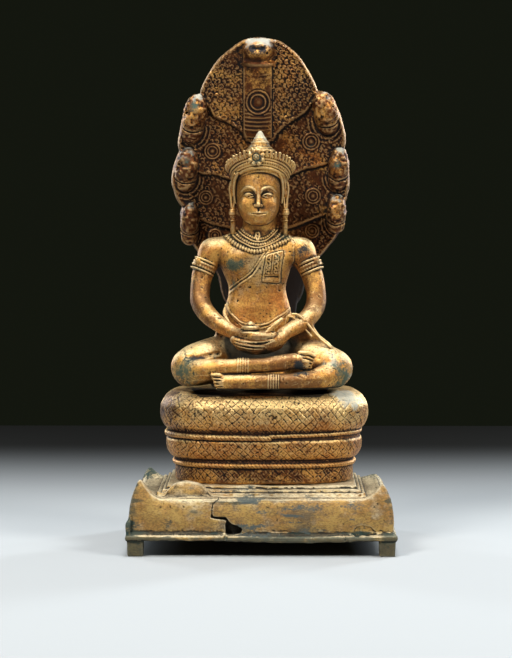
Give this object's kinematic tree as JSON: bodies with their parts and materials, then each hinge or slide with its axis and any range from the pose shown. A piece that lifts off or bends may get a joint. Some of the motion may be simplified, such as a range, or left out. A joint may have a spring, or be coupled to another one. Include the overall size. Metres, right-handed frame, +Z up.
{
  "type": "seated buddha on a naga",
  "caption": "Crowned figure seated in meditation on coiled naga under its spread hood of serpent heads, on a hollow rectangular pedestal with upturned corners.",
  "frame": {"origin": "middle of the footprint, at the level of the feet", "axes": "+Z up, the figure faces -Y, +X is to the right as seen from the front"},
  "size_m": [0.155, 0.1188, 0.2976],
  "materials": {
    "gilt_bronze": "worn gilding over brown bronze, with green patches",
    "naga_bronze": "red-brown patina with worn gold on what stands out",
    "pedestal_bronze": "dull ochre gold with grey-green corrosion on the edges"
  },
  "bodies": {
    "root": {"pedestal": "pedestal_bronze", "naga": "naga_bronze", "buddha": "gilt_bronze"}
  },
  "joints": []
}
